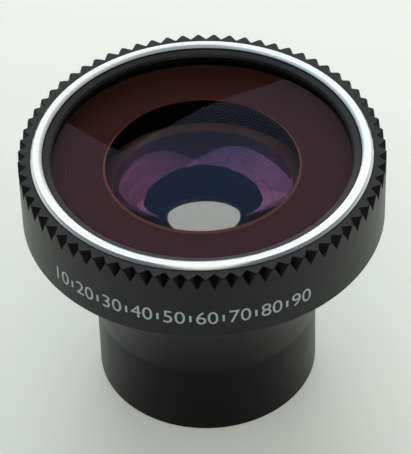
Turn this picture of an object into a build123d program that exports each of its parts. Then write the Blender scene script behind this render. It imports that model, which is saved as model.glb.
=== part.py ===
"""Phone fisheye lens: a magnetic add-on lens for a phone camera, in millimetres.

The origin is the centre of the rear face, which sits on the phone, and +Z is the
optical axis towards the scene. The pieces are stacked from the rear face upwards:
magnet, retainer, rear doublet, stop, second element, front element, knurled ring.
"""
from build123d import *
from math import copysign, radians, sqrt, tan
import os

# Clearances
bond_gap = 0.05           # glue or slip gap between pieces of one body
cement_gap = 0.02         # optical cement between the two glasses of the doublet
seat_gap = 0.02           # room where a flat seat meets a curved glass
stop_gap = 0.18           # air between the doublet's crown and the stop
thread_gap = 0.3          # radial room for the coarse thread under the knurled ring
washer_gap = 0.1          # slip washer in its pocket
roof_gap = 0.25           # air above the barrel's front wall

# Rear doublet
doublet_radius = 4.9
flint_centre = 0.8
cement_depth = 0.9        # hollow of the flint, at the doublet's edge
crown_edge = 1.2
crown_bulge = 1.9         # rise of the crown's front surface
web_cover = 0.4           # barrel's web over the edge of the doublet

# Retainer and ring magnet
retainer_step = 0.35      # retainer's thread outside the doublet's bore
retainer_cover = 0.35     # retainer over the edge of the doublet
retainer_thickness = 1.0
retainer_lead = 0.2       # thread left free behind the retainer
retainer_play = 0.25      # room for the retainer on its way through the magnet
spanner_slot_width = 0.7
spanner_slot_depth = 0.35
magnet_width = 1.3
magnet_thickness = 1.6
magnet_set_back = 0.1     # magnet face behind the rear face, so that it never scratches
magnet_bevel = 0.12

# Aperture stop and middle spacer
stop_opening = 3.7
stop_rim = 1.6            # stop outside the web's hole
stop_thickness = 0.15
middle_spacer_length = 2.7
funnel_step = 0.25        # narrow end of the middle spacer outside the stop's opening
middle_spacer_land = 0.5  # flat rim that meets the second element

# Second element, hollow towards the front
second_bowl = 6.15        # radius of the rim of its hollow
second_depth = 1.5        # depth of the hollow
second_rim = 1.5          # flat rim round the hollow
second_edge = 4.4         # thickness at the rim

# Front spacer, mask and front element
front_spacer_length = 1.3
spacer_lip = 0.95         # bore of the spacer outside the bowl's rim
mask_step = 0.35          # opening of the mask outside the bowl's rim
mask_overhang = 0.6       # mask inside the front mouth of the spacer
mask_thickness = 0.2
mask_width = 3.7
front_edge = 1.5
front_depth = 0.7         # hollow of the front element, at the mask's opening
glass_bevel = 0.12

# Barrel
rim_wall = 0.55           # outside the magnet
neck_wall = 1.55          # outside the seat of the second element
cell_wall = 0.65          # outside the front element; it carries the thread
cell_set_back = 0.65      # that wall ends this far behind the front glass
crease_height = 5.44      # where the straight foot turns into the flare
foot_bevel = 0.2
skirt_cover = 0.1         # thread starts this far above the ring's lower edge

# Slip washer and knurled ring
washer_thickness = 0.15
washer_overhang = 0.1     # washer outside the front element
lip_cover = 0.4           # lip over the edge of the front glass
lip_thickness = 0.35
lip_edge = 0.06
ring_wall = 0.8
ring_height = 5.15
ring_bevel = 0.12
ring_entry = 0.3          # lead-in chamfer of the ring's mouth
collar_rise = 0.05        # black collar inside the trim, above the front face
collar_fall = 0.12        # its slope down to the lip

# Notches cut through the ring's front corner
notch_count = 70
notch_depth = 0.49        # into the front face
notch_drop = 0.87         # down the side
notch_angle = 97.0        # between the two flanks
face_land = 0.34          # black face between the notches and the trim

# Bright trim ring
trim_width = 0.77
trim_seat_depth = 0.15    # below the ring's front face
trim_stand = 0.17         # outer edge above the ring's front face
trim_outer_facet = 0.5    # width of the facet outside the crest
trim_crest_rise = 0.04    # crest above the outer edge
trim_inner_drop = 0.1     # inner edge below the crest


def curve_of(depth, radius):
    """Radius of the sphere whose cap has this depth at this radius."""
    return (radius**2 + depth**2) / (2 * depth)


def depth_of(curve, radius):
    """Depth of a spherical surface between its middle and the given radius."""
    return curve - sqrt(curve**2 - radius**2)


def surface(height, curve, radius):
    """Draw half of a lens surface, from the axis at a height out to a radius.

    A positive curve bends up towards the edge, a negative one bends down. The edge
    point is returned.
    """
    bend = copysign(1, curve)
    middle = (radius / 2, height + bend * depth_of(abs(curve), radius / 2))
    edge = (radius, height + bend * depth_of(abs(curve), radius))
    ThreePointArc((0, height), middle, edge)
    return edge


def lower_rim(part):
    """Outermost circle of a turned piece's lowest face."""
    circles = part.edges().filter_by(GeomType.CIRCLE)
    return circles.group_by(Axis.Z)[0].sort_by(SortBy.RADIUS)[-1]


# Radii, from the doublet outwards
doublet_bore = doublet_radius + bond_gap
retainer_radius = doublet_bore + retainer_step
retainer_bore = doublet_radius - retainer_cover
magnet_bore = retainer_radius + retainer_play
magnet_radius = magnet_bore + magnet_width
magnet_recess = magnet_radius + bond_gap
barrel_radius = magnet_recess + rim_wall
web_opening = doublet_radius - web_cover
stop_radius = web_opening + stop_rim
middle_bore = stop_radius + bond_gap
second_radius = second_bowl + second_rim
second_bore = second_radius + bond_gap
neck_radius = second_bore + neck_wall
mask_opening = second_bowl + mask_step
front_radius = mask_opening + mask_width
cell_bore = front_radius + bond_gap
thread_radius = cell_bore + cell_wall
ring_bore = thread_radius + thread_gap
ring_radius = ring_bore + ring_wall
washer_radius = front_radius + washer_overhang
washer_pocket = washer_radius + washer_gap
lip_radius = front_radius - lip_cover
trim_radius = ring_radius - notch_depth - face_land
trim_bore = trim_radius - trim_width

# Heights, from the rear face upwards
recess_floor = magnet_set_back + magnet_thickness
retainer_rear = recess_floor + retainer_lead
flint_rear = retainer_rear + retainer_thickness
flint_front = flint_rear + flint_centre
cement_curve = curve_of(cement_depth, doublet_radius)
crown_rear = flint_front + cement_gap
crown_rear_curve = cement_curve - cement_gap
crown_front_curve = curve_of(crown_bulge, doublet_radius)
crown_front = crown_rear + depth_of(crown_rear_curve, doublet_radius) + crown_edge + crown_bulge
web_rear = crown_front - depth_of(crown_front_curve, web_opening) + seat_gap
stop_seat = crown_front + stop_gap
middle_spacer_rear = stop_seat + stop_thickness
second_rear = middle_spacer_rear + middle_spacer_length
second_front = second_rear + second_edge
second_pole = second_front - second_depth
mask_rear = second_front + front_spacer_length
front_rear = mask_rear + mask_thickness
front_pole = front_rear + front_depth
front_face = front_rear + front_edge
cell_top = front_face - cell_set_back
lip_under = front_face + washer_thickness
ring_top = lip_under + lip_thickness
ring_foot = ring_top - ring_height
ring_roof = cell_top + roof_gap
thread_foot = ring_foot + skirt_cover
collar_top = ring_top + collar_rise
trim_foot = ring_top - trim_seat_depth
trim_edge = ring_top + trim_stand
trim_crest = trim_edge + trim_crest_rise

os.makedirs("parts", exist_ok=True)

# Barrel: straight foot, trumpet flare and the front wall that carries the thread
with BuildPart() as barrel:
    with BuildSketch(Plane.XZ):
        with BuildLine():
            Polyline(
                (second_bore, second_rear),
                (second_bore, mask_rear),
                (cell_bore, mask_rear),
                (cell_bore, cell_top),
                (thread_radius, cell_top),
                (thread_radius, thread_foot),
            )
            ThreePointArc(
                (thread_radius, thread_foot),
                (neck_radius, second_rear),
                (barrel_radius, crease_height),
            )
            Polyline(
                (barrel_radius, crease_height),
                (barrel_radius, 0),
                (magnet_recess, 0),
                (magnet_recess, recess_floor),
                (retainer_radius + bond_gap, recess_floor),
                (retainer_radius + bond_gap, flint_rear),
                (doublet_bore, flint_rear),
                (doublet_bore, web_rear),
                (web_opening, web_rear),
                (web_opening, stop_seat),
                (middle_bore, stop_seat),
                (middle_bore, second_rear),
                (second_bore, second_rear),
            )
        make_face()
    revolve(axis=Axis.Z)
    chamfer(lower_rim(barrel), length=foot_bevel)
barrel.part.label = "barrel"

# Ring magnet, glued into the recess of the rear face
with BuildPart() as ring_magnet:
    with BuildSketch(Plane.XY.offset(magnet_set_back)):
        Circle(magnet_radius)
        Circle(magnet_bore, mode=Mode.SUBTRACT)
    extrude(amount=magnet_thickness)
    chamfer(ring_magnet.edges().group_by(Axis.Z)[0], length=magnet_bevel)
ring_magnet.part.label = "ring_magnet"

# Threaded retainer of the doublet, with a spanner slot across its rear face
with BuildPart() as rear_retainer:
    with BuildSketch(Plane.XY.offset(retainer_rear)):
        Circle(retainer_radius)
        Circle(retainer_bore, mode=Mode.SUBTRACT)
    extrude(amount=retainer_thickness)
    with BuildSketch(Plane.XY.offset(retainer_rear)):
        Rectangle(2 * magnet_bore, spanner_slot_width)
    extrude(amount=spanner_slot_depth, mode=Mode.SUBTRACT)
rear_retainer.part.label = "rear_retainer"

# Rear doublet: flint glass behind, crown glass in front
with BuildPart() as rear_flint:
    with BuildSketch(Plane.XZ):
        with BuildLine():
            edge = surface(flint_front, cement_curve, doublet_radius)
            Polyline(
                edge,
                (doublet_radius, flint_rear + glass_bevel),
                (doublet_radius - glass_bevel, flint_rear),
                (0, flint_rear),
                (0, flint_front),
            )
        make_face()
    revolve(axis=Axis.Z)
rear_flint.part.label = "rear_flint"

with BuildPart() as rear_crown:
    with BuildSketch(Plane.XZ):
        with BuildLine():
            rear_edge = surface(crown_rear, crown_rear_curve, doublet_radius)
            front_edge_point = surface(crown_front, -crown_front_curve, doublet_radius)
            Line(rear_edge, front_edge_point)
            Line((0, crown_rear), (0, crown_front))
        make_face()
    revolve(axis=Axis.Z)
rear_crown.part.label = "rear_crown"

# Aperture stop: a thin blackened disc
with BuildPart() as aperture_stop:
    with BuildSketch(Plane.XY.offset(stop_seat)):
        Circle(stop_radius)
        Circle(stop_opening, mode=Mode.SUBTRACT)
    extrude(amount=stop_thickness)
aperture_stop.part.label = "aperture_stop"

# Middle spacer: a short tube whose bore opens like a funnel
with BuildPart() as middle_spacer:
    with BuildSketch(Plane.XZ):
        with BuildLine():
            Polyline(
                (stop_opening + funnel_step, middle_spacer_rear),
                (stop_radius, middle_spacer_rear),
                (stop_radius, second_rear),
                (stop_radius - middle_spacer_land, second_rear),
                close=True,
            )
        make_face()
    revolve(axis=Axis.Z)
middle_spacer.part.label = "middle_spacer"

# Second element: flat rear, and a wide bowl hollowed out of its front
with BuildPart() as second_element:
    with BuildSketch(Plane.XZ):
        with BuildLine():
            edge = surface(second_pole, curve_of(second_depth, second_bowl), second_bowl)
            Polyline(
                edge,
                (second_radius - glass_bevel, second_front),
                (second_radius, second_front - glass_bevel),
                (second_radius, second_rear),
                (0, second_rear),
                (0, second_pole),
            )
        make_face()
    revolve(axis=Axis.Z)
second_element.part.label = "second_element"

# Front spacer: the dark tube between the two front glasses
with BuildPart() as front_spacer:
    with BuildSketch(Plane.XZ):
        with BuildLine():
            Polyline(
                (second_bowl + spacer_lip, second_front),
                (second_radius, second_front),
                (second_radius, mask_rear),
                (mask_opening + mask_overhang, mask_rear),
                close=True,
            )
        make_face()
    revolve(axis=Axis.Z)
front_spacer.part.label = "front_spacer"

# Front mask: the thin dark annulus that shows through the front glass
with BuildPart() as front_mask:
    with BuildSketch(Plane.XY.offset(mask_rear)):
        Circle(front_radius)
        Circle(mask_opening, mode=Mode.SUBTRACT)
    extrude(amount=mask_thickness)
front_mask.part.label = "front_mask"

# Front element: flat outside, hollow inside
with BuildPart() as front_element:
    with BuildSketch(Plane.XZ):
        with BuildLine():
            edge = surface(front_pole, -curve_of(front_depth, mask_opening), mask_opening)
            Polyline(
                edge,
                (front_radius, front_rear),
                (front_radius, front_face - glass_bevel),
                (front_radius - glass_bevel, front_face),
                (0, front_face),
                (0, front_pole),
            )
        make_face()
    revolve(axis=Axis.Z)
front_element.part.label = "front_element"

# Slip washer: rides in the ring's pocket and keeps the turning lip off the glass
with BuildPart() as slip_washer:
    with BuildSketch(Plane.XY.offset(front_face)):
        Circle(washer_radius)
        Circle(lip_radius, mode=Mode.SUBTRACT)
    extrude(amount=washer_thickness)
slip_washer.part.label = "slip_washer"

# Cutter of one notch: a wedge whose valley runs up the side and in to the front face
valley_bottom = Vector(ring_radius, 0, ring_top - notch_drop)
valley_top = Vector(ring_radius - notch_depth, 0, ring_top)
wedge_height = 2 * notch_depth
wedge_half = wedge_height * tan(radians(notch_angle / 2))
with BuildPart() as notch_cutter:
    with BuildSketch(Plane(valley_bottom, x_dir=(0, 1, 0), z_dir=valley_top - valley_bottom)):
        with BuildLine():
            Polyline((0, 0), (wedge_half, -wedge_height), (-wedge_half, -wedge_height), close=True)
        make_face()
    extrude(amount=2 * notch_drop, both=True)

# Knurled ring: skirt over the thread, lip over the glass, notches round the corner
with BuildPart() as front_ring:
    with BuildSketch(Plane.XZ):
        with BuildLine():
            Polyline(
                (ring_radius, ring_foot),
                (ring_radius, ring_top),
                (trim_radius + bond_gap, ring_top),
                (trim_radius + bond_gap, trim_foot),
                (trim_bore - bond_gap, trim_foot),
                (trim_bore - bond_gap, collar_top),
                (lip_radius + lip_edge, collar_top - collar_fall),
                (lip_radius, collar_top - collar_fall - lip_edge),
                (lip_radius, lip_under),
                (washer_pocket, lip_under),
                (washer_pocket, ring_roof),
                (ring_bore, ring_roof),
                (ring_bore, ring_foot + ring_entry),
                (ring_bore + ring_entry, ring_foot),
                close=True,
            )
        make_face()
    revolve(axis=Axis.Z)
    chamfer(lower_rim(front_ring), length=ring_bevel)
    with PolarLocations(0, notch_count):
        add(notch_cutter.part, mode=Mode.SUBTRACT)
front_ring.part.label = "front_ring"

# Bright trim ring: two turned facets that meet at a crest
with BuildPart() as trim_ring:
    with BuildSketch(Plane.XZ):
        with BuildLine():
            Polyline(
                (trim_radius, trim_foot),
                (trim_radius, trim_edge),
                (trim_radius - trim_outer_facet, trim_crest),
                (trim_bore, trim_crest - trim_inner_drop),
                (trim_bore, trim_foot),
                close=True,
            )
        make_face()
    revolve(axis=Axis.Z)
trim_ring.part.label = "trim_ring"

pieces = (
    barrel, ring_magnet, rear_retainer, rear_flint, rear_crown, aperture_stop, middle_spacer,
    second_element, front_spacer, front_mask, front_element, slip_washer, front_ring, trim_ring,
)
for piece in pieces:
    export_step(piece.part, f"parts/{piece.part.label}.step")
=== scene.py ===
# %% [markdown]
# # A phone fisheye lens, dressed for the camera
#
# The lens is a stack of turned metal parts and ground glass. Its construction is already
# there as a fixed frame: every solid at its real size and place. This lesson gives it its
# looks. It swaps the turned solids for smooth ones, cuts the notches of the knurled ring,
# adds threads and a numbered scale, coats the glass and lights it all on a sheet of paper.

from math import asin, atan2, cos, hypot, inf, pi, radians, sin, tan

import bmesh
import bpy
from mathutils import Matrix, Quaternion, Vector


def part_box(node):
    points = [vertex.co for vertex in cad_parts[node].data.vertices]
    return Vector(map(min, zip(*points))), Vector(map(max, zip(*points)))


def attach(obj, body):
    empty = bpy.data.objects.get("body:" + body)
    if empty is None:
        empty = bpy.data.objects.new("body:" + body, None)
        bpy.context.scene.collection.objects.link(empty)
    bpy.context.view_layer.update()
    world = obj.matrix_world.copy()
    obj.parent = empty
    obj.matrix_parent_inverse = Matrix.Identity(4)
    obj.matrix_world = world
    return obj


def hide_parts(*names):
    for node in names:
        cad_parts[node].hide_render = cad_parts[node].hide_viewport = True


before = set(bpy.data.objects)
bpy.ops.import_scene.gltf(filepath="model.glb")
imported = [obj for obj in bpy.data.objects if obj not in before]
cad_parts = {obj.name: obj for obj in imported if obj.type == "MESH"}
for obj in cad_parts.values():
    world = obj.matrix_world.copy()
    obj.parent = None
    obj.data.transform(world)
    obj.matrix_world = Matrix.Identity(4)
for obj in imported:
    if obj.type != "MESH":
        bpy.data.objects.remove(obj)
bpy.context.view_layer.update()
scene = bpy.context.scene
print("frame nodes:", ", ".join(sorted(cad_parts)))

# %% [markdown]
# Blender works in metres and a lens maker in millimetres. Outlines below are written in
# millimetres and turned to metres once, when a mesh is made. The main sizes of each solid
# are read from the frame, so that a piece sits exactly where its solid is. Smaller ones are
# given next to the outline that uses them.

# %% Measure the solids
MM = 0.001


def measure(node):
    """Inner radius, outer radius, lowest and highest point of a turned solid, in mm."""
    low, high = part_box(node)
    distances = [hypot(v.co.x, v.co.y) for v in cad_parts[node].data.vertices]
    return min(distances) / MM, high.x / MM, low.z / MM, high.z / MM


_, thread_radius, _, cell_top = measure("barrel")
lip_radius, ring_radius, ring_foot, collar_top = measure("front_ring")
trim_bore, trim_radius, trim_foot, trim_crest = measure("trim_ring")
_, front_radius, front_rear, front_face = measure("front_element")
_, second_radius, second_rear, second_front = measure("second_element")
mask_opening, mask_radius, mask_rear, mask_front = measure("front_mask")
_, spacer_radius, _, _ = measure("front_spacer")
funnel_bore, middle_radius, middle_rear, middle_front = measure("middle_spacer")
stop_opening, stop_radius, stop_rear, stop_front = measure("aperture_stop")
_, doublet_radius, flint_rear, _ = measure("rear_flint")
_, _, _, crown_front = measure("rear_crown")
magnet_bore, magnet_radius, magnet_rear, magnet_front = measure("ring_magnet")
_, washer_radius, _, washer_front = measure("slip_washer")
print(f"ring {2 * ring_radius:.2f} mm across, crest of the trim at {trim_crest:.2f} mm")

# %% [markdown]
# Three small helpers serve the whole file. Colours are written as sRGB hex values, as a
# paint chart gives them, and the first turns them to the linear values that the renderer
# adds up. The second adds a node with its settings and its links, and the third starts a
# material.

# %% Colour and node helpers


def hex_colour(code):
    """Linear red, green, blue and alpha of an sRGB hex colour."""
    channels = [int(code[i:i + 2], 16) / 255 for i in (1, 3, 5)]
    linear = [c / 12.92 if c <= 0.04045 else ((c + 0.055) / 1.055) ** 2.4 for c in channels]
    return (*linear, 1.0)


def add_node(tree, kind, inputs=None, **settings):
    """Add a node, set its properties, and set or link its inputs by name or number."""
    node = tree.nodes.new(kind)
    for name, value in settings.items():
        setattr(node, name, value)
    for name, value in (inputs or {}).items():
        if isinstance(value, bpy.types.NodeSocket):
            tree.links.new(value, node.inputs[name])
        else:
            node.inputs[name].default_value = value
    return node


def new_material(name):
    """A material with an empty node tree, and that tree."""
    material = bpy.data.materials.new(name)
    material.use_nodes = True
    material.node_tree.nodes.clear()
    return material, material.node_tree


# %% [markdown]
# Nearly every part of a lens comes off a lathe, so one function spins a closed outline
# into a solid. Sharp corners don't exist on real metal: a turned edge is always broken by
# a few hundredths of a millimetre, and that thin line is what catches the light. So a
# second function rounds the corners of an outline before it is spun.

# %% A lathe
LATHE_STEPS = 240
CORNER_STEPS = 3
CURVE_STEPS = 40
SHARP_ANGLE = radians(24)
FLAT_ANGLE = radians(160)
TINY = 1e-6


def round_corners(outline, radius):
    """Replace each real corner of a closed (radius, height) outline by a small arc."""
    rounded = []
    for index, point in enumerate(outline):
        here = Vector(point)
        before = Vector(outline[index - 1]) - here
        after = Vector(outline[(index + 1) % len(outline)]) - here
        angle = before.angle(after)
        if here.x < TINY or angle > FLAT_ANGLE:
            rounded.append(here)
            continue
        cut = min(radius / tan(angle / 2), 0.4 * min(before.length, after.length))
        start = here + before.normalized() * cut
        end = here + after.normalized() * cut
        for step in range(CORNER_STEPS + 1):
            t = step / CORNER_STEPS
            rounded.append((1 - t) ** 2 * start + 2 * t * (1 - t) * here + t ** 2 * end)
    return rounded


def link_mesh(name, bm, material):
    """Turn a bmesh into a linked object with smooth faces and crisp corners."""
    bmesh.ops.recalc_face_normals(bm, faces=bm.faces)
    mesh = bpy.data.meshes.new(name)
    bm.to_mesh(mesh)
    bm.free()
    mesh.shade_smooth()
    mesh.set_sharp_from_angle(angle=SHARP_ANGLE)
    mesh.materials.append(material)
    piece = bpy.data.objects.new(name, mesh)
    scene.collection.objects.link(piece)
    return piece


def turned(name, outline, material, edge=0.03):
    """Spin a closed outline in millimetres round the Z axis."""
    points = round_corners(outline, edge) if edge else [Vector(p) for p in outline]
    bm = bmesh.new()
    angles = [2 * pi * step / LATHE_STEPS for step in range(LATHE_STEPS)]
    rings = []
    for radius, height in points:
        if radius < TINY:
            rings.append([bm.verts.new((0, 0, height * MM))])
            continue
        rings.append([bm.verts.new((radius * cos(a) * MM, radius * sin(a) * MM, height * MM))
                      for a in angles])
    for index, ring in enumerate(rings):
        other = rings[(index + 1) % len(rings)]
        if len(ring) == 1 and len(other) == 1:
            continue
        for step in range(LATHE_STEPS):
            corners = [ring[step % len(ring)], ring[(step + 1) % len(ring)],
                       other[(step + 1) % len(other)], other[step % len(other)]]
            bm.faces.new(list(dict.fromkeys(corners)))
    return link_mesh(name, bm, material)


def seat(piece, body, slot=None, *nodes):
    """Let a piece ride with a body and stand for the solids that it replaces."""
    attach(piece, body)
    if nodes:
        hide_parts(*nodes)
    triangles = sum(len(polygon.vertices) - 2 for polygon in piece.data.polygons)
    print(f"{piece.name}: {triangles} triangles, rides with {body}")


# %% [markdown]
# The camera stands 43 degrees above the table and far off, with a long lens, so that the
# lens shows almost without perspective. Its distance and the point it aims at are given in
# ring radii, from the middle of the foot, and it leans by under two degrees.

# %% Camera
camera_distance = 15.0 * ring_radius
camera_elevation = radians(43.25)
camera_roll = radians(-1.78)
aim_height = 0.99 * ring_radius
aim_side = 0.0068 * ring_radius
focal_length = 214.0

forward = Vector((0, cos(camera_elevation), -sin(camera_elevation)))
level_right = Vector((1, 0, 0))
level_up = level_right.cross(forward)
right = cos(camera_roll) * level_right + sin(camera_roll) * level_up
up = cos(camera_roll) * level_up - sin(camera_roll) * level_right
aim = Vector((aim_side, 0, aim_height)) * MM
camera_data = bpy.data.cameras.new("camera")
camera_data.lens = focal_length
camera_data.clip_start = 0.005
camera = bpy.data.objects.new("camera", camera_data)
turn = Matrix((right, up, -forward)).transposed().to_4x4()
camera.matrix_world = Matrix.Translation(aim - forward * camera_distance * MM) @ turn
scene.collection.objects.link(camera)
scene.camera = camera
print(f"camera {camera_distance:.0f} mm away")

# %% [markdown]
# The stage is a sheet of translucent white paper, lit a little from below, as a light
# table is. That glow is made weaker towards the viewer and to the left, which is painted
# shade for the soft shade that falls there round the lens. The glow is for the eyes alone:
# it shows to the camera, in mirrors and through glass, and lights nothing. The rest of the
# paper's white is plain reflected light, so the lens still throws its shadow on it.

# %% Light table
paper_tone = "#dfe2da"
glow_tone = "#f2f6ee"
glow_near = 0.28
glow_far = 0.44
glow_from = -10 * MM
glow_to = 35 * MM
glow_direction = (0.3, 0.95, 0)
table_half = 0.9

paper, tree = new_material("translucent_white_paper")
rays = add_node(tree, "ShaderNodeLightPath")
mirrored = add_node(tree, "ShaderNodeMath", {
    0: rays.outputs["Is Glossy Ray"], 1: rays.outputs["Is Transmission Ray"]},
    operation="MAXIMUM")
seen = add_node(tree, "ShaderNodeMath", {
    0: rays.outputs["Is Camera Ray"], 1: mirrored.outputs[0]}, operation="MAXIMUM")
place = add_node(tree, "ShaderNodeTexCoord")
across = add_node(tree, "ShaderNodeVectorMath", {
    0: place.outputs["Object"], 1: glow_direction}, operation="DOT_PRODUCT")
# Painted shade: the glow grows weaker towards the viewer and to the left.
painted_shade_falloff = add_node(tree, "ShaderNodeMapRange", {
    "Value": across.outputs["Value"], "From Min": glow_from, "From Max": glow_to,
    "To Min": glow_near, "To Max": glow_far})
strength = add_node(tree, "ShaderNodeMath", {0: seen.outputs[0], 1: painted_shade_falloff.outputs[0]},
                    operation="MULTIPLY")
glow = add_node(tree, "ShaderNodeEmission", {
    "Color": hex_colour(glow_tone), "Strength": strength.outputs[0]})
sheet = add_node(tree, "ShaderNodeBsdfPrincipled", {
    "Base Color": hex_colour(paper_tone), "Roughness": 0.8, "Specular IOR Level": 0.1})
both = add_node(tree, "ShaderNodeAddShader", {0: glow.outputs[0], 1: sheet.outputs[0]})
add_node(tree, "ShaderNodeOutputMaterial", {"Surface": both.outputs[0]})

bm = bmesh.new()
bmesh.ops.create_grid(bm, x_segments=2, y_segments=2, size=table_half)
table = link_mesh("table_top", bm, paper)

# %% [markdown]
# Two tall oval softboxes lean together behind the lens, and a smaller third one hangs
# overhead, a little to the viewer's side. In the bowl each of the first two makes one
# purple lobe, and as a hollow mirror swaps sides, the cool left one makes the right lobe.
# A softbox is placed by the direction it is seen in from the lens: its pitch up from the
# horizon behind the lens, and its angle to the side. Its brightness is given as a radiance,
# where 1 is paper white.
#
# A backlit screen hangs in front of them, and a small roof-shaped black flag before it.
# The front glass shows the screen as a pale veil and the flag as the dark patch in it, and
# the bowl shows the screen as the dark blue ellipse between the lobes. The screen has a
# second, darker tone for rays that have come through glass, because a real coating sends
# back less between two glasses than this simple one does.

# %% Lamps, screen and flag
lamp_distance = 2.0
screen_distance = 1.9
flag_distance = 1.4
glass_middle = Vector((0, 0, front_face * MM))


def seen_from_lens(pitch, side):
    """The direction of a thing behind the lens, from its pitch and side angles."""
    return Vector((sin(radians(side)), cos(radians(side)) * cos(radians(pitch)),
                   cos(radians(side)) * sin(radians(pitch))))


def softbox(name, pitch, side, wide, tall, lean, radiance, colour):
    """An oval soft lamp that faces the lens. All angles are in degrees."""
    direction = seen_from_lens(pitch, side)
    data = bpy.data.lights.new(name, "AREA")
    data.shape = "ELLIPSE"
    data.size = 2 * lamp_distance * tan(radians(wide / 2))
    data.size_y = 2 * lamp_distance * tan(radians(tall / 2))
    data.energy = radiance * pi * pi / 4 * data.size * data.size_y
    data.color = hex_colour(colour)[:3]
    lamp = bpy.data.objects.new(name, data)
    lamp.location = glass_middle + direction * lamp_distance
    facing = direction.to_track_quat("Z", "Y") @ Quaternion((0, 0, 1), radians(lean))
    lamp.rotation_euler = facing.to_euler()
    scene.collection.objects.link(lamp)
    print(f"{name}: {data.energy:.2f} W")


softbox("left_softbox", pitch=38.4, side=-3.8, wide=40, tall=76, lean=-14.3,
        radiance=1.55, colour="#e0f2ff")
softbox("right_softbox", pitch=34.6, side=2.1, wide=40, tall=80, lean=20.4,
        radiance=1.0, colour="#ffeee6")
softbox("fill_softbox", pitch=118, side=0, wide=40, tall=40, lean=0,
        radiance=1.0, colour="#fffaec")


def card(name, outline, distance, finish):
    """A card with corners at (side, pitch) angles, seen only in mirrors and through glass."""
    bm = bmesh.new()
    bm.faces.new([bm.verts.new(glass_middle + distance * seen_from_lens(pitch, side))
                  for side, pitch in outline])
    piece = link_mesh(name, bm, finish)
    piece.visible_camera = False
    piece.visible_diffuse = False
    piece.visible_shadow = False


screen_cloth, tree = new_material("backlit_screen_cloth")
rays = add_node(tree, "ShaderNodeLightPath")
outside = add_node(tree, "ShaderNodeMath", {
    0: rays.outputs["Transmission Depth"], 1: 0.5}, operation="LESS_THAN")
tone = add_node(tree, "ShaderNodeValToRGB", {"Fac": outside.outputs[0]})
tone.color_ramp.elements[0].color = hex_colour("#10808e")
tone.color_ramp.elements[1].color = hex_colour("#fafcff")
glow = add_node(tree, "ShaderNodeEmission", {"Color": tone.outputs[0], "Strength": 1.2})
add_node(tree, "ShaderNodeOutputMaterial", {"Surface": glow.outputs[0]})

black_felt, tree = new_material("black_felt")
surface = add_node(tree, "ShaderNodeBsdfPrincipled", {
    "Base Color": hex_colour("#050505"), "Roughness": 0.9, "Specular IOR Level": 0.0})
add_node(tree, "ShaderNodeOutputMaterial", {"Surface": surface.outputs[0]})

screen_right = [(8, 2), (12.9, 15), (15.8, 25), (17, 34), (17.4, 45), (14.6, 56), (8.7, 64.5)]
screen_left = [(-side, pitch) for side, pitch in reversed(screen_right)]
card("screen", [*screen_right, (0, 68), *screen_left], screen_distance, screen_cloth)
flag_roof = [(-3.6, 40.6), (-2, 41.6), (0, 40.6), (0.5, 40.4), (1.9, 40), (2.6, 39.8)]
flag_foot = [(2.6, 39.45), (-3.6, 39.45)]
card("black_flag", [*flag_roof, *flag_foot], flag_distance, black_felt)

# %% [markdown]
# The rest of the room is a plain backdrop: pale walls low down, grey above, and darker on
# the viewer's side, so that the side of the lens that faces the viewer stays dark.

# %% Room
world = bpy.data.worlds.new("bright_room")
scene.world = world
world.use_nodes = True
tree = world.node_tree
tree.nodes.clear()
direction = add_node(tree, "ShaderNodeTexCoord")
parts = add_node(tree, "ShaderNodeSeparateXYZ", {0: direction.outputs["Generated"]})
walls = add_node(tree, "ShaderNodeValToRGB", {"Fac": parts.outputs["Z"]})
walls.color_ramp.elements[0].position = 0.15
walls.color_ramp.elements[0].color = hex_colour("#e6e6e0")
walls.color_ramp.elements[1].position = 0.4
walls.color_ramp.elements[1].color = hex_colour("#8c9298")
dim_side = add_node(tree, "ShaderNodeMapRange", {
    "Value": parts.outputs["Y"], "From Min": -0.7, "From Max": 0.1, "To Min": 0.35})
room = add_node(tree, "ShaderNodeBackground", {
    "Color": walls.outputs[0], "Strength": dim_side.outputs[0]})
add_node(tree, "ShaderNodeOutputWorld", {"Surface": room.outputs[0]})

# %% [markdown]
# Black anodised aluminium is metal under a hard, dyed, slightly matte skin. The eye reads
# a near-black body with a soft grey sheen. The ring was blasted before it was dyed, and
# its sheen is lighter than the barrel's. The flanks of its notches get a browner copy of
# the ring's finish with far less sheen, which is painted shade for the shade that falls in
# the notches. Inside, the parts are matte and dead black. Fine turning marks run round the
# part. They are drawn as rings along Z, with a pitch that is coarser than real so that they
# show.

# %% Black anodised aluminium
anodised_marks = 0.08
trim_marks = 0.05
mark_depth = 0.02


def turning_marks(tree, pitch, strength, along_radius=False):
    """Bump from fine grooves of a given pitch in mm, stacked along Z or along the radius."""
    place = add_node(tree, "ShaderNodeTexCoord")
    if along_radius:
        flat = add_node(tree, "ShaderNodeVectorMath", {
            0: place.outputs["Object"], 1: (1, 1, 0)}, operation="MULTIPLY")
        path = add_node(tree, "ShaderNodeVectorMath", {0: flat.outputs[0]}, operation="LENGTH")
        distance = path.outputs["Value"]
    else:
        parts = add_node(tree, "ShaderNodeSeparateXYZ", {0: place.outputs["Object"]})
        distance = parts.outputs["Z"]
    scaled = add_node(tree, "ShaderNodeMath", {0: distance, 1: 1 / (pitch * MM)},
                      operation="MULTIPLY")
    spread = add_node(tree, "ShaderNodeTexNoise", {
        "W": scaled.outputs[0], "Scale": 1.0, "Detail": 2.0}, noise_dimensions="1D")
    bump = add_node(tree, "ShaderNodeBump", {
        "Height": spread.outputs[0], "Strength": strength, "Distance": mark_depth * MM})
    return bump.outputs[0]


def patchy_roughness(tree, patch, detail, lowest, highest):
    """A roughness that wanders between two values, in patches of a given size in mm."""
    place = add_node(tree, "ShaderNodeTexCoord")
    mottle = add_node(tree, "ShaderNodeTexNoise", {
        "Vector": place.outputs["Object"], "Scale": 1 / (patch * MM), "Detail": detail})
    rough = add_node(tree, "ShaderNodeMapRange", {
        "Value": mottle.outputs[0], "To Min": lowest, "To Max": highest})
    return rough.outputs[0]


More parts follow.
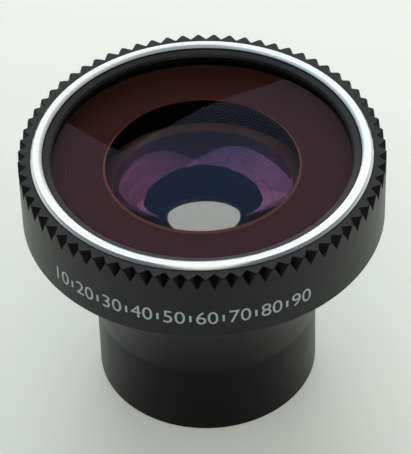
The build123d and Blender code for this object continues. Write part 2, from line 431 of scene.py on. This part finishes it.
def anodised(name, colour, roughness, gloss, marks):
    """Dyed oxide over metal: near-black, with a soft sheen that varies a little."""
    material, tree = new_material(name)
    rough = patchy_roughness(tree, patch=1.2, detail=4.0,
                             lowest=roughness - 0.05, highest=roughness + 0.07)
    surface = add_node(tree, "ShaderNodeBsdfPrincipled", {
        "Base Color": hex_colour(colour), "Roughness": rough, "Specular IOR Level": gloss,
        "Normal": turning_marks(tree, anodised_marks, marks)})
    add_node(tree, "ShaderNodeOutputMaterial", {"Surface": surface.outputs[0]})
    return material


black_anodised = anodised("black_anodised_aluminium", "#060607", 0.34, gloss=0.11, marks=0.12)
ring_anodised = anodised("satin_black_anodised_ring", "#080708", 0.38, gloss=0.33, marks=0.12)
# Painted shade: the notch flanks get a browner copy of the ring's finish with less sheen.
shaded_flank_anodising = anodised("notch_flank_painted_shade", "#0b0706", 0.28, gloss=0.13, marks=0.05)
matte_black = anodised("matte_black_anodising", "#060607", 0.8, gloss=0.05, marks=0.05)

# %% [markdown]
# The trim is bare aluminium, turned with a sharp tool and left bright. The eye reads it as
# white where it mirrors the lamps and as grey elsewhere. Its grooves run in circles, so its
# highlights spread across them.

# %% Bright turned aluminium
bright_aluminium, tree = new_material("bright_turned_aluminium")
surface = add_node(tree, "ShaderNodeBsdfPrincipled", {
    "Base Color": hex_colour("#eaeeec"), "Metallic": 1.0, "Roughness": 0.2,
    "Normal": turning_marks(tree, trim_marks, strength=0.15, along_radius=True)})
add_node(tree, "ShaderNodeOutputMaterial", {"Surface": surface.outputs[0]})

# %% [markdown]
# The mask behind the front glass is painted a flat maroon-brown, and the rims and edges of
# the glasses brown or black, so that no stray light comes round them. The eye reads them as
# dark and dull. Blackened steel is as dark with a faint sheen, the washer's film is plain
# black, nickel plating is a warm blurred mirror, and the ink is a dull cool white.

# %% Paints, film and plating


def plain_finish(name, colour, roughness, metallic=0.0, gloss=0.5):
    """A finish with one colour and a roughness that varies a little over the surface."""
    material, tree = new_material(name)
    rough = patchy_roughness(tree, patch=0.6, detail=3.0,
                             lowest=roughness - 0.04, highest=roughness + 0.06)
    surface = add_node(tree, "ShaderNodeBsdfPrincipled", {
        "Base Color": hex_colour(colour), "Roughness": rough, "Metallic": metallic,
        "Specular IOR Level": gloss})
    add_node(tree, "ShaderNodeOutputMaterial", {"Surface": surface.outputs[0]})
    return material


mask_paint = plain_finish("maroon_mask_paint", "#6e443f", 0.8, gloss=0.05)
rim_paint = plain_finish("brown_rim_paint", "#8a6252", 0.7, gloss=0.1)
land_lacquer = plain_finish("purple_black_lacquer", "#2a1c2a", 0.5, gloss=0.3)
edge_paint = plain_finish("black_edge_paint", "#060607", 0.7, gloss=0.1)
blackened_steel = plain_finish("blackened_steel", "#0c0c0d", 0.5, metallic=0.4)
black_film = plain_finish("black_polyester_film", "#101012", 0.45)
nickel = plain_finish("bright_nickel_plating", "#c8c4bb", 0.2, metallic=1.0)
white_ink = plain_finish("white_screen_ink", "#d2dde0", 0.6)

# %% [markdown]
# The edge of the hollow in the front glass is ground and not polished. Seen through the
# glass it is a pale warm band. Its air side is blacked, so the far part of the edge, which
# the viewer sees from the air side, stays dark.

# %% Ground edge
ground_edge, tree = new_material("ground_glass_edge")
face_side = add_node(tree, "ShaderNodeNewGeometry")
tone = add_node(tree, "ShaderNodeValToRGB", {"Fac": face_side.outputs["Backfacing"]})
tone.color_ramp.elements[0].color = hex_colour("#040404")
tone.color_ramp.elements[1].color = hex_colour("#e89878")
surface = add_node(tree, "ShaderNodeBsdfPrincipled", {
    "Base Color": tone.outputs[0], "Roughness": 0.6, "Specular IOR Level": 0.1})
add_node(tree, "ShaderNodeOutputMaterial", {"Surface": surface.outputs[0]})

# %% [markdown]
# Optical glass is clear, and what the eye sees is its coating: a stack of films thinner
# than a wavelength of light, which takes most of the reflection away and tints the rest.
# It is drawn here by what it does. The specular tint colours what the face sends back, and
# part of the surface only bends the light, which is what a coating does to a clear face.
# In the steep bowl both change with the slant. The tint goes from lavender to pink, and
# the part that is sent back first grows and then falls.
# Lamps light what lies behind the glass as if it weren't there, which a renderer would
# otherwise take very long to find out, so shadow rays pass straight through.

# %% Coated glass


def over_slant(tree, stops):
    """A colour that follows the slant of the view, from 0 head-on to 1 edge-on."""
    slant = add_node(tree, "ShaderNodeLayerWeight", {"Blend": 0.5})
    ramp = add_node(tree, "ShaderNodeValToRGB", {"Fac": slant.outputs["Facing"]})
    marks = ramp.color_ramp.elements
    while len(marks) < len(stops):
        marks.new(1.0)
    for mark, (position, colour) in zip(marks, stops):
        mark.position = position
        mark.color = colour
    return ramp.outputs[0]


def coated_glass(name, index, tint, share):
    """Polished glass: its index, and the tint and share of its reflection.

    Tint and share are one value each, or a list of (slant, value) stops.
    """
    material, tree = new_material(name)
    if isinstance(tint, list):
        tint = over_slant(tree, [(at, hex_colour(colour)) for at, colour in tint])
    else:
        tint = hex_colour(tint)
    if isinstance(share, list):
        share = over_slant(tree, [(at, (part, part, part, 1)) for at, part in share])
    bare = add_node(tree, "ShaderNodeBsdfPrincipled", {
        "Base Color": (1, 1, 1, 1), "Roughness": 0.0, "IOR": index,
        "Transmission Weight": 1.0, "Specular Tint": tint})
    coated = add_node(tree, "ShaderNodeBsdfRefraction", {
        "Color": (1, 1, 1, 1), "Roughness": 0.0, "IOR": index})
    clear = add_node(tree, "ShaderNodeBsdfTransparent")
    rays = add_node(tree, "ShaderNodeLightPath")
    glass = add_node(tree, "ShaderNodeMixShader", {
        0: share, 1: coated.outputs[0], 2: bare.outputs[0]})
    surface = add_node(tree, "ShaderNodeMixShader", {
        0: rays.outputs["Is Shadow Ray"], 1: glass.outputs[0], 2: clear.outputs[0]})
    add_node(tree, "ShaderNodeOutputMaterial", {"Surface": surface.outputs[0]})
    return material


front_glass = coated_glass("coated_front_glass", index=1.52, tint="#003086", share=0.62)
bowl_glass = coated_glass("coated_bowl_glass", index=1.69,
                          tint=[(0.12, "#c8a0ec"), (0.3, "#f47cd6")],
                          share=[(0.1, 0.55), (0.22, 1.0), (0.36, 0.65), (0.52, 0.15)])
hollow_glass = coated_glass("coated_hollow_glass", index=1.52, tint="#000000", share=0.1)
rear_face_glass = coated_glass("coated_rear_face_glass", index=1.69, tint="#3c9cb0", share=0.4)
rear_glass = coated_glass("coated_rear_glass", index=1.58, tint="#5fc0d0", share=0.3)

# %% [markdown]
# The barrel carries everything. A straight foot stands on the phone, a trumpet flare
# opens to the front cell, and the cell's outside wall carries a thread for the ring.

# %% Barrel
seat_gap = 0.05
barrel_radius = 7.45
crease_height = 5.44
foot_bevel = 0.2
neck_radius = 9.25
skirt_cover = 0.1
second_bore = second_radius + seat_gap
cell_bore = front_radius + seat_gap
magnet_recess = magnet_radius + seat_gap
retainer_thread = 5.35
doublet_bore = doublet_radius + seat_gap
web_opening = 4.5
web_rear = 6.18
middle_bore = middle_radius + seat_gap


def arc_through(start, middle, end, steps):
    """Points on the circle through three (radius, height) points, ends included."""
    (ax, ay), (bx, by), (cx, cy) = start, middle, end
    double = 2 * (ax * (by - cy) + bx * (cy - ay) + cx * (ay - by))
    squares = [x * x + y * y for x, y in (start, middle, end)]
    x0 = (squares[0] * (by - cy) + squares[1] * (cy - ay) + squares[2] * (ay - by)) / double
    y0 = (squares[0] * (cx - bx) + squares[1] * (ax - cx) + squares[2] * (bx - ax)) / double
    radius = hypot(ax - x0, ay - y0)
    first = atan2(ay - y0, ax - x0)
    sweep = (atan2(cy - y0, cx - x0) - first + pi) % (2 * pi) - pi
    angles = [first + sweep * step / steps for step in range(steps + 1)]
    return [(x0 + radius * cos(a), y0 + radius * sin(a)) for a in angles]


flare = arc_through((thread_radius, ring_foot + skirt_cover), (neck_radius, second_rear),
                    (barrel_radius, crease_height), steps=16)
barrel_outline = [
    (second_bore, second_rear), (second_bore, mask_rear), (cell_bore, mask_rear),
    (cell_bore, cell_top), (thread_radius, cell_top), *flare,
    (barrel_radius, foot_bevel), (barrel_radius - foot_bevel, 0),
    (magnet_recess, 0), (magnet_recess, magnet_front),
    (retainer_thread, magnet_front), (retainer_thread, flint_rear),
    (doublet_bore, flint_rear), (doublet_bore, web_rear), (web_opening, web_rear),
    (web_opening, stop_rear), (middle_bore, stop_rear), (middle_bore, second_rear),
]
barrel = turned("barrel_shell", barrel_outline, black_anodised, edge=0.06)
seat(barrel, "lens_body", "black_anodised", "barrel")

# %% [markdown]
# The knurled ring is gripped by its notched front corner. Each notch is a V cut whose
# valley runs up the side and in to the face at a slant, so that its two flanks are plain
# triangles. One pitch of the ring is built from that rule, and Geometry Nodes place it
# round the axis as many times as there are notches.

# %% One pitch of the knurled ring
notch_count = 70
notch_depth = 0.49
notch_drop = 0.96
notch_angle = radians(97)
collar_rise = 0.05
collar_fall = 0.12
lip_edge = 0.15
ring_bore = thread_radius + 0.3
washer_pocket = washer_radius + 0.1
ring_roof = cell_top + 0.25
ring_entry = 0.3
ring_bevel = 0.12
ring_top = collar_top - collar_rise
skin = 0.01
collar_gap = 0.05

side_radius = ring_radius - skin
pitch = 2 * pi / notch_count
slant = hypot(notch_depth, notch_drop)
flank_slope = tan(notch_angle / 2)


def side_cut(angle):
    """Height where a flank leaves the ring's side, at an angle from the notch's middle."""
    sideways = slant * side_radius * abs(sin(angle)) / flank_slope
    inwards = notch_drop * side_radius * (1 - cos(angle))
    return ring_top - notch_drop + (sideways + inwards) / notch_depth


def corner_angle():
    """Angle at which a flank reaches the ring's front corner."""
    low, high = 0.0, pitch / 2
    for _ in range(40):
        middle = (low + high) / 2
        low, high = (middle, high) if side_cut(middle) < ring_top else (low, middle)
    return low


def face_cut(angle):
    """Point (x, y) where a flank meets the front face, beside the side's point."""
    across = side_radius * sin(angle)
    return side_radius - notch_depth + slant * abs(across) / (flank_slope * notch_drop), across


print(f"land between notches {side_radius * (pitch - 2 * corner_angle()):.3f} mm")

# %% Build the pitch as a mesh
columns_per_flank = 3
edge_angle = corner_angle()
column_angles = [-pitch / 2]
column_angles += [edge_angle * step / columns_per_flank
                  for step in range(-columns_per_flank, columns_per_flank + 1)]
column_angles += [pitch / 2]

ring_inside = [
    (trim_radius + skin, ring_top), (trim_radius + skin, trim_foot),
    (trim_bore - collar_gap, trim_foot), (trim_bore - collar_gap, collar_top),
    (lip_radius + lip_edge, collar_top - collar_fall),
    (lip_radius, collar_top - collar_fall - lip_edge),
    (lip_radius, washer_front), (washer_pocket, washer_front), (washer_pocket, ring_roof),
    (ring_bore, ring_roof), (ring_bore, ring_foot + ring_entry),
    (ring_bore + ring_entry, ring_foot), (side_radius - ring_bevel, ring_foot),
    (side_radius, ring_foot + ring_bevel),
]


def polar(radius, angle, height):
    """A point in metres from a radius, an angle and a height in mm."""
    return Vector((radius * cos(angle), radius * sin(angle), height)) * MM


bm = bmesh.new()
flank_mark = bm.faces.layers.bool.new("flank")
columns = []
for angle in column_angles:
    inside = [bm.verts.new(polar(radius, angle, height)) for radius, height in ring_inside]
    cut_height = min(side_cut(angle), ring_top)
    outer = bm.verts.new(polar(side_radius, angle, cut_height))
    if cut_height < ring_top - TINY:
        x, y = face_cut(angle)
        inner = bm.verts.new(Vector((x, y, ring_top)) * MM)
    else:
        inner = outer
    columns.append((inside, outer, inner))
for (inside_a, outer_a, inner_a), (inside_b, outer_b, inner_b) in zip(columns, columns[1:]):
    loop_a = [*inside_a, outer_a, inner_a]
    loop_b = [*inside_b, outer_b, inner_b]
    for index in range(len(loop_a)):
        following = (index + 1) % len(loop_a)
        corners = dict.fromkeys([loop_a[index], loop_a[following],
                                 loop_b[following], loop_b[index]])
        if len(corners) > 2:
            face = bm.faces.new(list(corners))
            face[flank_mark] = index == len(ring_inside)
one_pitch = link_mesh("knurled_ring", bm, ring_anodised)
print(f"one pitch has {len(one_pitch.data.polygons)} faces")

# %% [markdown]
# The tree takes the pitch that the modifier is on, a count, a distance within which points
# are merged, and two materials. It puts one point for each notch on the axis, turns an
# instance at each, makes them one mesh, and gives the marked flanks the second, darker
# material, which is painted shade for the notches. A small bevel then breaks the sharp
# edges of the notches, as tumbling does on the real ring, so that they show as fine light
# lines.

# %% Place the pitches with Geometry Nodes


def round_the_axis(name):
    """A node group that repeats its geometry round the Z axis."""
    group = bpy.data.node_groups.new(name, "GeometryNodeTree")
    sockets = group.interface
    sockets.new_socket("Geometry", in_out="INPUT", socket_type="NodeSocketGeometry")
    count = sockets.new_socket("Count", in_out="INPUT", socket_type="NodeSocketInt")
    merge = sockets.new_socket("Merge Distance", in_out="INPUT", socket_type="NodeSocketFloat")
    finish = sockets.new_socket("Material", in_out="INPUT", socket_type="NodeSocketMaterial")
    cut = sockets.new_socket("Shaded Flank Material", in_out="INPUT",
                             socket_type="NodeSocketMaterial")
    sockets.new_socket("Geometry", in_out="OUTPUT", socket_type="NodeSocketGeometry")
    given = add_node(group, "NodeGroupInput")
    points = add_node(group, "GeometryNodePoints", {"Count": given.outputs["Count"]})
    number = add_node(group, "GeometryNodeInputIndex")
    step = add_node(group, "ShaderNodeMath", {0: 2 * pi, 1: given.outputs["Count"]},
                    operation="DIVIDE")
    angle = add_node(group, "ShaderNodeMath", {0: number.outputs[0], 1: step.outputs[0]},
                     operation="MULTIPLY")
    turned_by = add_node(group, "ShaderNodeCombineXYZ", {"Z": angle.outputs[0]})
    copies = add_node(group, "GeometryNodeInstanceOnPoints", {
        "Points": points.outputs[0], "Instance": given.outputs["Geometry"],
        "Rotation": turned_by.outputs[0]})
    real = add_node(group, "GeometryNodeRealizeInstances", {0: copies.outputs[0]})
    joined = add_node(group, "GeometryNodeMergeByDistance", {
        "Geometry": real.outputs[0], "Distance": given.outputs["Merge Distance"]})
    coloured = add_node(group, "GeometryNodeSetMaterial", {
        "Geometry": joined.outputs[0], "Material": given.outputs["Material"]})
    flanks = add_node(group, "GeometryNodeInputNamedAttribute", {"Name": "flank"},
                      data_type="BOOLEAN")
    finished = add_node(group, "GeometryNodeSetMaterial", {
        "Geometry": coloured.outputs[0], "Selection": flanks.outputs["Attribute"],
        "Material": given.outputs["Shaded Flank Material"]})
    add_node(group, "NodeGroupOutput", {0: finished.outputs[0]})
    return group, [item.identifier for item in (count, merge, finish, cut)]


def settle(piece):
    """Replace a piece's mesh by what its modifiers make, and remove them."""
    bpy.context.view_layer.update()
    evaluated = piece.evaluated_get(bpy.context.evaluated_depsgraph_get())
    mesh = bpy.data.meshes.new_from_object(evaluated)
    piece.modifiers.clear()
    piece.data = mesh
    return piece


def tidy_normals(piece, sharp_angle=SHARP_ANGLE):
    """Turn the faces of a closed mesh outwards and keep its corners crisp."""
    bm = bmesh.new()
    bm.from_mesh(piece.data)
    bmesh.ops.recalc_face_normals(bm, faces=bm.faces)
    open_edges = sum(1 for edge in bm.edges if len(edge.link_faces) != 2)
    bm.to_mesh(piece.data)
    bm.free()
    piece.data.shade_smooth()
    piece.data.set_sharp_from_angle(angle=sharp_angle)
    print(f"{piece.name}: {open_edges} open edges")


broken_edge = 0.035
broken_above = radians(30)
notch_weld = 0.002
notch_sharp_angle = radians(14)

group, (count_id, merge_id, finish_id, shaded_flank_id) = round_the_axis("notches_round_the_axis")
repeat = one_pitch.modifiers.new("notches", "NODES")
repeat.node_group = group
repeat[count_id] = notch_count
repeat[merge_id] = notch_weld * MM
repeat[finish_id] = ring_anodised
# The flanks get the darker copy of the finish, painted shade for the notches.
repeat[shaded_flank_id] = shaded_flank_anodising
softening = one_pitch.modifiers.new("broken_edges", "BEVEL")
softening.width = broken_edge * MM
softening.segments = 1
softening.limit_method = "ANGLE"
softening.angle_limit = broken_above
knurled_ring = settle(one_pitch)
tidy_normals(knurled_ring, notch_sharp_angle)
seat(knurled_ring, "ring_body", "black_anodised", "front_ring")

# %% [markdown]
# The bright trim stands just proud of the black face. Its top is a level flat between a
# chamfer on the outside and a narrow facet that falls inwards.

# %% Trim ring
trim_chamfer = 0.17
trim_flat = 0.33
trim_inner_drop = 0.1
trim = turned("bright_trim", [
    (trim_radius, trim_foot), (trim_radius, trim_crest - trim_chamfer),
    (trim_radius - trim_chamfer, trim_crest),
    (trim_radius - trim_chamfer - trim_flat, trim_crest),
    (trim_bore, trim_crest - trim_inner_drop), (trim_bore, trim_foot)], bright_aluminium)
seat(trim, "ring_body", "bright_aluminium", "trim_ring")

# %% [markdown]
# The ring screws on to the barrel. A thread is one V ridge wound round a cylinder, so it
# is a spiral curve with a profile swept along it. Both threads have the same pitch and
# start half a pitch apart.
#
# Two things here differ from a real thread. The spirals are left-handed, although the ring
# rises as on a right-handed one. And each ridge points into the wall that carries it, so
# that only its root stands out, by up to 0.04 mm, and shows as a fine line.

# %% Threads with Geometry Nodes
thread_pitch = 0.5
thread_ridge = 0.16
ridge_root = 0.36
ridge_crest = 0.08
run_out = 0.04
run_out_height = 0.15
spiral_steps = 96
thread_inset = 0.35
thread_end = 0.3


def wound_ridge(name):
    """A node group that winds a V ridge round the Z axis. Lengths are in metres."""
    group = bpy.data.node_groups.new(name, "GeometryNodeTree")
    sockets = group.interface
    ids = {}
    for label in ("Radius", "Foot", "Length", "Pitch", "Ridge", "Root Width", "Crest Width"):
        socket = sockets.new_socket(label, in_out="INPUT", socket_type="NodeSocketFloat")
        ids[label] = socket.identifier
    finish = sockets.new_socket("Material", in_out="INPUT", socket_type="NodeSocketMaterial")
    ids["Material"] = finish.identifier
    sockets.new_socket("Geometry", in_out="OUTPUT", socket_type="NodeSocketGeometry")
    given = add_node(group, "NodeGroupInput")

    def maths(first, second, operation):
        return add_node(group, "ShaderNodeMath", {0: first, 1: second},
                        operation=operation).outputs[0]

    turns = maths(given.outputs["Length"], given.outputs["Pitch"], "DIVIDE")
    spiral = add_node(group, "GeometryNodeCurveSpiral", {
        "Resolution": spiral_steps, "Rotations": turns, "Start Radius": given.outputs["Radius"],
        "End Radius": given.outputs["Radius"], "Height": given.outputs["Length"]})
    along = add_node(group, "GeometryNodeSplineParameter")
    from_end = maths(1.0, along.outputs["Factor"], "SUBTRACT")
    nearest = maths(along.outputs["Factor"], from_end, "MINIMUM")
    fade = add_node(group, "ShaderNodeMapRange", {
        "Value": nearest, "From Max": run_out, "To Min": run_out_height})
    half_root = maths(given.outputs["Root Width"], 0.5, "MULTIPLY")
    half_crest = maths(given.outputs["Crest Width"], 0.5, "MULTIPLY")
    corners = {}
    for number, (width, sign, height) in enumerate([
            (half_root, -1.0, 0.0), (half_crest, -1.0, 1.0),
            (half_crest, 1.0, 1.0), (half_root, 1.0, 0.0)], start=1):
        rise = maths(given.outputs["Ridge"], height, "MULTIPLY")
        signed = maths(width, sign, "MULTIPLY")
        corner = add_node(group, "ShaderNodeCombineXYZ", {0: rise, 1: signed})
        corners[f"Point {number}"] = corner.outputs[0]
    profile = add_node(group, "GeometryNodeCurvePrimitiveQuadrilateral", corners, mode="POINTS")
    ridge = add_node(group, "GeometryNodeCurveToMesh", {
        "Curve": spiral.outputs[0], "Profile Curve": profile.outputs[0],
        "Fill Caps": True, "Scale": fade.outputs[0]})
    lift = add_node(group, "ShaderNodeCombineXYZ", {2: given.outputs["Foot"]})
    placed = add_node(group, "GeometryNodeTransform", {
        "Geometry": ridge.outputs[0], "Translation": lift.outputs[0]})
    coloured = add_node(group, "GeometryNodeSetMaterial", {
        "Geometry": placed.outputs[0], "Material": given.outputs["Material"]})
    add_node(group, "NodeGroupOutput", {0: coloured.outputs[0]})
    return group, ids


ridge_group, ridge_ids = wound_ridge("wound_ridge")


def thread(name, radius, foot, top, ridge, body):
    """Wind one thread between two heights, in mm. A positive ridge points to the axis."""
    blank = bpy.data.objects.new(name, bpy.data.meshes.new(name))
    scene.collection.objects.link(blank)
    winding = blank.modifiers.new("winding", "NODES")
    winding.node_group = ridge_group
    sizes = {"Radius": radius, "Foot": foot, "Length": top - foot, "Pitch": thread_pitch,
             "Ridge": ridge, "Root Width": ridge_root, "Crest Width": ridge_crest}
    for label, size in sizes.items():
        winding[ridge_ids[label]] = size * MM
    winding[ridge_ids["Material"]] = black_anodised
    piece = settle(blank)
    tidy_normals(piece)
    reach = [hypot(v.co.x, v.co.y) / MM for v in piece.data.vertices]
    print(f"{name}: from {min(reach):.2f} to {max(reach):.2f} mm off the axis")
    seat(piece, body, "black_anodised")


# %% Wind both threads
thread_start = ring_foot + skirt_cover + thread_inset
thread_top = cell_top - thread_end
thread("barrel_thread", thread_radius - skin, thread_start, thread_top,
       thread_ridge, "lens_body")
thread("ring_thread", ring_bore + skin, thread_start + thread_pitch / 2, thread_top,
       -thread_ridge, "ring_body")

# %% [markdown]
# The glasses are spun too, without rounded corners, because polished faces meet their
# bevels at a crisp line. Each curved face is part of a sphere: its depth at its rim gives
# the sphere's radius. The hollow of the front glass starts with a low ground step, which
# shows through the glass as a thin warm line on the near side.

# %% Glasses
facing_slack = 0.1


def cap(height, depth, radius):
    """Points of a spherical face from the axis to its rim. A positive depth rises."""
    curve = (radius ** 2 + depth ** 2) / (2 * abs(depth))
    bend = 1 if depth > 0 else -1
    reach = asin(radius / curve)
    angles = [reach * step / CURVE_STEPS for step in range(CURVE_STEPS + 1)]
    return [(curve * sin(a), height + bend * curve * (1 - cos(a))) for a in angles]


def finish_band(piece, material, inner=0.0, outer=inf, below=inf, facing=None):
    """Give another finish to the faces in a band of radii and below a height, in mm.

    Facing keeps to the faces that look up (1), down (-1) or sideways (0).
    """
    piece.data.materials.append(material)
    for polygon in piece.data.polygons:
        radius = hypot(polygon.center.x, polygon.center.y) / MM
        in_band = inner < radius < outer and polygon.center.z / MM < below
        if in_band and (facing is None or abs(polygon.normal.z - facing) < facing_slack):
            polygon.material_index = len(piece.data.materials) - 1


# %% Front glass
glass_bevel = 0.12
front_depth = 0.85
hollow_step = 0.28
hollow_step_width = 0.14
front_pole = front_rear + front_depth
hollow_rim = mask_opening - hollow_step_width

front_lens = turned("front_glass", [
    *cap(front_pole, hollow_step - front_depth, hollow_rim), (mask_opening, front_rear),
    (front_radius, front_rear), (front_radius, front_face - glass_bevel),
    (front_radius - glass_bevel, front_face), (0, front_face)], front_glass, edge=0)
finish_band(front_lens, edge_paint, inner=front_radius - glass_bevel)
finish_band(front_lens, mask_paint, inner=mask_opening, facing=-1)
finish_band(front_lens, ground_edge, inner=hollow_rim, outer=mask_opening,
            below=front_rear + hollow_step)
finish_band(front_lens, hollow_glass, outer=hollow_rim, below=front_pole)
seat(front_lens, "lens_body", "coated_glass", "front_element")

# %% Bowl and rear glasses
bowl_rim = 6.15
bowl_depth = 1.5
land_width = 0.5
land_rim = middle_radius - land_width
crown_bulge = 1.9

bowl_lens = turned("bowl_glass", [
    *cap(second_front - bowl_depth, bowl_depth, bowl_rim),
    (second_radius - glass_bevel, second_front), (second_radius, second_front - glass_bevel),
    (second_radius, second_rear), (land_rim, second_rear), (0, second_rear)],
    bowl_glass, edge=0)
finish_band(bowl_lens, edge_paint, inner=bowl_rim, facing=0)
finish_band(bowl_lens, rim_paint, inner=bowl_rim, facing=1)
finish_band(bowl_lens, land_lacquer, inner=land_rim, facing=-1)
finish_band(bowl_lens, rear_face_glass, outer=land_rim, facing=-1)
seat(bowl_lens, "lens_body", "coated_glass", "second_element")

rear_lens = turned("rear_doublet", [
    (0, flint_rear), (doublet_radius, flint_rear), (doublet_radius, crown_front - crown_bulge),
    *reversed(cap(crown_front, -crown_bulge, doublet_radius))], rear_glass, edge=0)
finish_band(rear_lens, edge_paint, facing=0)
seat(rear_lens, "lens_body", "coated_glass", "rear_flint", "rear_crown")

# %% [markdown]
# The inner parts are plain rings. The spacers and the mask's body are dull black against
# stray light, the stop is blackened steel, and the magnet is plated with nickel. The rear
# retainer and the slip washer keep their solids and only get a finish.

# %% Inner parts
bowl_land = 0.95
spacer_bore = bowl_rim + bowl_land
mask_front_gap = 0.01


def ring_section(inner, outer, low, high):
    """Outline of a plain ring between two radii and two heights."""
    return [(inner, low), (outer, low), (outer, high), (inner, high)]


mask = turned("mask_ring", ring_section(
    mask_opening, mask_radius, mask_rear, mask_front - mask_front_gap), edge_paint, edge=0.01)
seat(mask, "lens_body", "dark_mask", "front_mask")

spacer = turned("front_spacer_tube", ring_section(
    spacer_bore, spacer_radius, second_front, mask_rear), matte_black, edge=0.02)
seat(spacer, "lens_body", "matte_black", "front_spacer")

funnel = turned("middle_spacer_funnel", [
    (funnel_bore, middle_rear), (middle_radius, middle_rear), (middle_radius, middle_front),
    (land_rim, middle_front)], matte_black, edge=0.02)
seat(funnel, "lens_body", "matte_black", "middle_spacer")

stop = turned("stop_disc", ring_section(
    stop_opening, stop_radius, stop_rear, stop_front), blackened_steel, edge=0.01)
seat(stop, "lens_body", "blackened_steel", "aperture_stop")

magnet = turned("ring_magnet_body", ring_section(
    magnet_bore, magnet_radius, magnet_rear, magnet_front), nickel, edge=0.12)
seat(magnet, "lens_body", "nickel_magnet", "ring_magnet")

for node, finish in {"rear_retainer": black_anodised, "slip_washer": black_film}.items():
    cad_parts[node].data.materials.clear()
    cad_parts[node].data.materials.append(finish)

# %% [markdown]
# A plain numbered scale is printed on the ring's side in white ink: figures at every ten
# degrees, and a short tick between two of them. Each figure is a text object, made a mesh
# while it is still flat. Its points are then wrapped round the ring: the distance along
# the line of text becomes an angle.

# %% Numbered scale
scale_start = -50.0
scale_step = 10.0
figures = [str(number) for number in range(10, 100, 10)]
figure_height = 1.1
figure_share = 0.73
figure_middle = 15.25
tick_length = 0.55
tick_width = 0.15
ink_depth = 0.03
ink_weld = 0.001
near_side = -pi / 2


def wrap_round_ring(mesh, angle, height):
    """Bend a flat mesh, in mm about its own origin, round the side of the ring."""
    for vertex in mesh.vertices:
        across, along, out = vertex.co
        turn = angle + across / ring_radius
        vertex.co = polar(ring_radius - ink_depth / 2 + out, turn, height + along)


def printed_figure(name, text, angle):
    """One number of the scale as a wrapped mesh."""
    letters = bpy.data.curves.new(name, "FONT")
    letters.body = text
    letters.size = figure_height / figure_share
    letters.align_x = "CENTER"
    letters.align_y = "CENTER"
    letters.extrude = ink_depth / 2
    letters.resolution_u = 6
    flat = bpy.data.objects.new(name, letters)
    scene.collection.objects.link(flat)
    bpy.context.view_layer.update()
    mesh = bpy.data.meshes.new_from_object(
        flat.evaluated_get(bpy.context.evaluated_depsgraph_get()))
    bpy.data.objects.remove(flat)
    wrap_round_ring(mesh, angle, figure_middle)
    return mesh


def printed_tick(angle):
    """A short upright line of the scale."""
    bm = bmesh.new()
    size = Matrix.Diagonal((tick_width, tick_length, ink_depth, 1))
    bmesh.ops.create_cube(bm, size=1.0, matrix=size)
    mesh = bpy.data.meshes.new("tick")
    bm.to_mesh(mesh)
    bm.free()
    wrap_round_ring(mesh, angle, figure_middle)
    return mesh


# %% Print the scale
scale = bmesh.new()
for index, text in enumerate(figures):
    angle = near_side + radians(scale_start + index * scale_step)
    scale.from_mesh(printed_figure(f"figure_{text}", text, angle))
    if index + 1 < len(figures):
        scale.from_mesh(printed_tick(angle + radians(scale_step / 2)))
bmesh.ops.remove_doubles(scale, verts=scale.verts, dist=ink_weld * MM)
scale_print = link_mesh("printed_scale", scale, white_ink)
seat(scale_print, "ring_body")

# %% [markdown]
# Light that reaches the table through the glasses crosses many surfaces, so the limits on
# how often a ray may bounce are raised. The bright specks that curved metal and glass throw
# around them are left out, because here they would only be noise.

# %% Light paths and the end
scene.view_settings.view_transform = "Standard"
scene.cycles.max_bounces = 24
scene.cycles.transmission_bounces = 24
scene.cycles.transparent_max_bounces = 24
scene.cycles.glossy_bounces = 12
scene.cycles.caustics_reflective = False
scene.cycles.caustics_refractive = False
